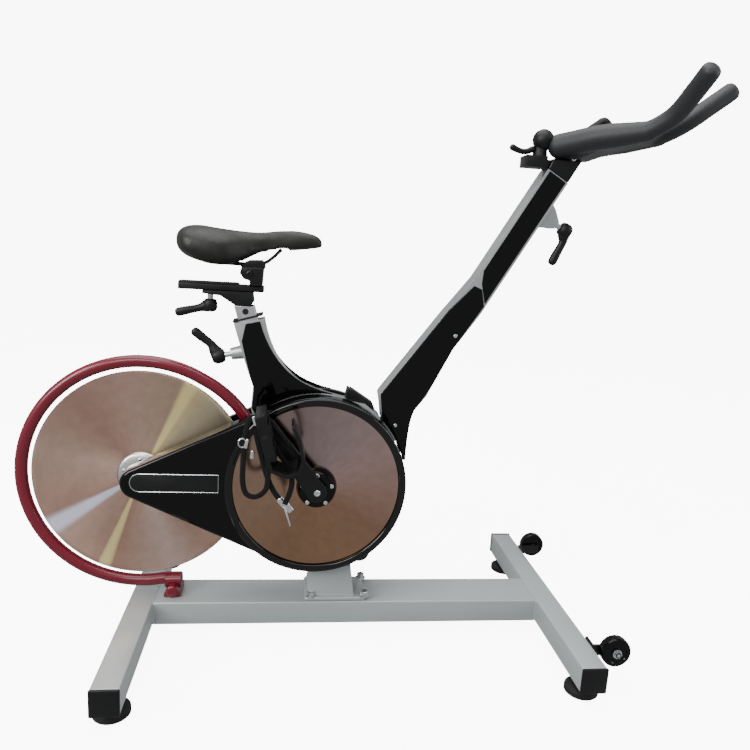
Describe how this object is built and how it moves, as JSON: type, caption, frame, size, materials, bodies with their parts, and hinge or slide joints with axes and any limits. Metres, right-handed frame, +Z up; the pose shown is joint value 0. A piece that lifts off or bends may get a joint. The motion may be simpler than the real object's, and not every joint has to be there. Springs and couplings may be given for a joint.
{
  "type": "indoor spin bike",
  "caption": "Indoor cycling bike with a belt-driven flywheel inside a red ring guard, a sliding saddle and a horned handlebar.",
  "frame": {"origin": "centre of the footprint box on the floor", "axes": "+X forward towards the handlebar, +Y to the rider's left, +Z up"},
  "size_m": [1.362, 0.674, 1.172],
  "materials": {
    "painted_steel": "satin silver-grey paint",
    "cast_alloy": "satin silver",
    "gloss_cover": "high gloss black",
    "satin_black": "satin black",
    "black_rubber": "matte black",
    "turned_alloy": "fine turned disc",
    "mirror_plate": "polished bronze mirror",
    "red_paint": "gloss red paint",
    "bright_steel": "bright zinc",
    "saddle_cover": "matte black vinyl",
    "grip_dip": "matte black dipped coating"
  },
  "bodies": {
    "frame": {"main_beam": "painted_steel", "rear_crossbar": "painted_steel", "front_crossbar": "painted_steel", "cap_rear_right": "satin_black", "cap_rear_left": "satin_black", "cap_front_right": "satin_black", "cap_front_left": "satin_black", "wheel_bracket_right": "bright_steel", "wheel_bracket_left": "bright_steel", "pedestal": "painted_steel", "frame_spine": "cast_alloy", "front_post": "cast_alloy", "fork_plate_right": "bright_steel", "fork_plate_left": "bright_steel", "drive_cover": "gloss_cover", "arm_panel": "satin_black", "belt_guard_plate": "mirror_plate", "belt_guard_rim": "gloss_cover", "left_cover": "gloss_cover", "mast_cover_right": "gloss_cover", "mast_cover_left": "gloss_cover", "post_cover_right": "gloss_cover", "post_cover_left": "gloss_cover", "belt": "black_rubber", "ring_guard": "red_paint", "ring_bracket": "red_paint"},
    "foot_rear_right": {"foot_rear_right": "black_rubber"},
    "foot_rear_left": {"foot_rear_left": "black_rubber"},
    "foot_front_right": {"foot_front_right": "black_rubber"},
    "foot_front_left": {"foot_front_left": "black_rubber"},
    "wheel_right": {"wheel_right": "gloss_cover"},
    "wheel_left": {"wheel_left": "gloss_cover"},
    "crankset": {"crank_axle": "bright_steel", "crank_right": "satin_black", "crank_left": "satin_black", "hub_cover": "gloss_cover", "drive_pulley": "bright_steel"},
    "pedal_right": {"pedal_right": "satin_black", "toe_cage_right": "satin_black"},
    "pedal_left": {"pedal_left": "satin_black", "toe_cage_left": "satin_black"},
    "flywheel": {"flywheel": "turned_alloy", "flywheel_hub": "cast_alloy", "flywheel_axle": "bright_steel", "small_pulley": "bright_steel"},
    "magnet_carriage": {"magnet_carriage": "bright_steel"},
    "seat_post": {"seat_post": "cast_alloy", "saddle_carrier": "satin_black"},
    "saddle": {"saddle_slide": "satin_black", "saddle_clamp": "satin_black", "saddle_rails": "bright_steel", "saddle": "saddle_cover"},
    "seat_lever": {"seat_lever": "satin_black"},
    "slide_lever": {"slide_lever": "satin_black"},
    "bar_lever": {"bar_lever": "satin_black"},
    "bar_post": {"bar_post": "satin_black", "shifter_housing": "satin_black"},
    "handlebar": {"handlebar": "grip_dip"},
    "shifter_lever": {"shifter_lever": "satin_black"}
  },
  "joints": [
    {"name": "flywheel_spin", "type": "hinge", "parent": "frame", "child": "flywheel", "pos_m": [-0.43179, 0, 0.343], "axis": [0, 1, 0], "continuous": true},
    {"name": "crank_spin", "type": "hinge", "parent": "frame", "child": "crankset", "pos_m": [-0.07419, 0, 0.345], "axis": [0, 1, 0], "continuous": true},
    {"name": "pedal_right_spin", "type": "hinge", "parent": "crankset", "child": "pedal_right", "pos_m": [-0.17555, -0.158, 0.48148], "axis": [0, 1, 0], "continuous": true},
    {"name": "pedal_left_spin", "type": "hinge", "parent": "crankset", "child": "pedal_left", "pos_m": [0.02717, 0.158, 0.20852], "axis": [0, 1, 0], "continuous": true},
    {"name": "wheel_right_spin", "type": "hinge", "parent": "frame", "child": "wheel_right", "pos_m": [0.51781, -0.244, 0.078], "axis": [0, 1, 0], "continuous": true},
    {"name": "wheel_left_spin", "type": "hinge", "parent": "frame", "child": "wheel_left", "pos_m": [0.51781, 0.244, 0.078], "axis": [0, 1, 0], "continuous": true},
    {"name": "foot_rear_right_turn", "type": "hinge", "parent": "frame", "child": "foot_rear_right", "pos_m": [-0.42699, -0.285, 0], "axis": [0, 0, 1], "continuous": true},
    {"name": "foot_rear_left_turn", "type": "hinge", "parent": "frame", "child": "foot_rear_left", "pos_m": [-0.42699, 0.285, 0], "axis": [0, 0, 1], "continuous": true},
    {"name": "foot_front_right_turn", "type": "hinge", "parent": "frame", "child": "foot_front_right", "pos_m": [0.45131, -0.255, 0], "axis": [0, 0, 1], "continuous": true},
    {"name": "foot_front_left_turn", "type": "hinge", "parent": "frame", "child": "foot_front_left", "pos_m": [0.45131, 0.255, 0], "axis": [0, 0, 1], "continuous": true},
    {"name": "seat_height", "type": "slide", "parent": "frame", "child": "seat_post", "axis": [-0.2785, 0, 0.9604], "range_m": [0, 0.1]},
    {"name": "saddle_fore_aft", "type": "slide", "parent": "seat_post", "child": "saddle", "axis": [1, 0, 0], "range_m": [-0.03, 0.05]},
    {"name": "bar_height", "type": "slide", "parent": "frame", "child": "bar_post", "axis": [0.5004, 0, 0.8658], "range_m": [0, 0.12]},
    {"name": "bar_turn", "type": "hinge", "parent": "bar_post", "child": "handlebar", "pos_m": [0.41781, 0, 1.062], "axis": [0, 0, 1], "range_deg": [0, 50]},
    {"name": "seat_lever_turn", "type": "hinge", "parent": "frame", "child": "seat_lever", "pos_m": [-0.28619, 0, 0.595], "axis": [-0.9785, 0, -0.206], "range_deg": [-90, 90]},
    {"name": "slide_lever_turn", "type": "hinge", "parent": "seat_post", "child": "slide_lever", "pos_m": [-0.29819, 0, 0.695], "axis": [0, 0, 1], "range_deg": [-90, 90]},
    {"name": "bar_lever_turn", "type": "hinge", "parent": "frame", "child": "bar_lever", "pos_m": [0.42581, 0, 0.883], "axis": [0.8869, 0, -0.4619], "range_deg": [-60, 60]},
    {"name": "shifter_turn", "type": "hinge", "parent": "bar_post", "child": "shifter_lever", "pos_m": [0.35281, -0.006, 1.061], "axis": [0, 1, 0], "range_deg": [0, 30]},
    {"name": "magnet_swing", "type": "hinge", "parent": "frame", "child": "magnet_carriage", "pos_m": [-0.20219, 0, 0.304], "axis": [0, 1, 0], "range_deg": [-4, 0]}
  ],
  "couplings": [
    {"joint": "crank_spin", "follows": "flywheel_spin", "ratio": 0.14029},
    {"joint": "magnet_swing", "follows": "shifter_turn", "ratio": -0.13333}
  ]
}
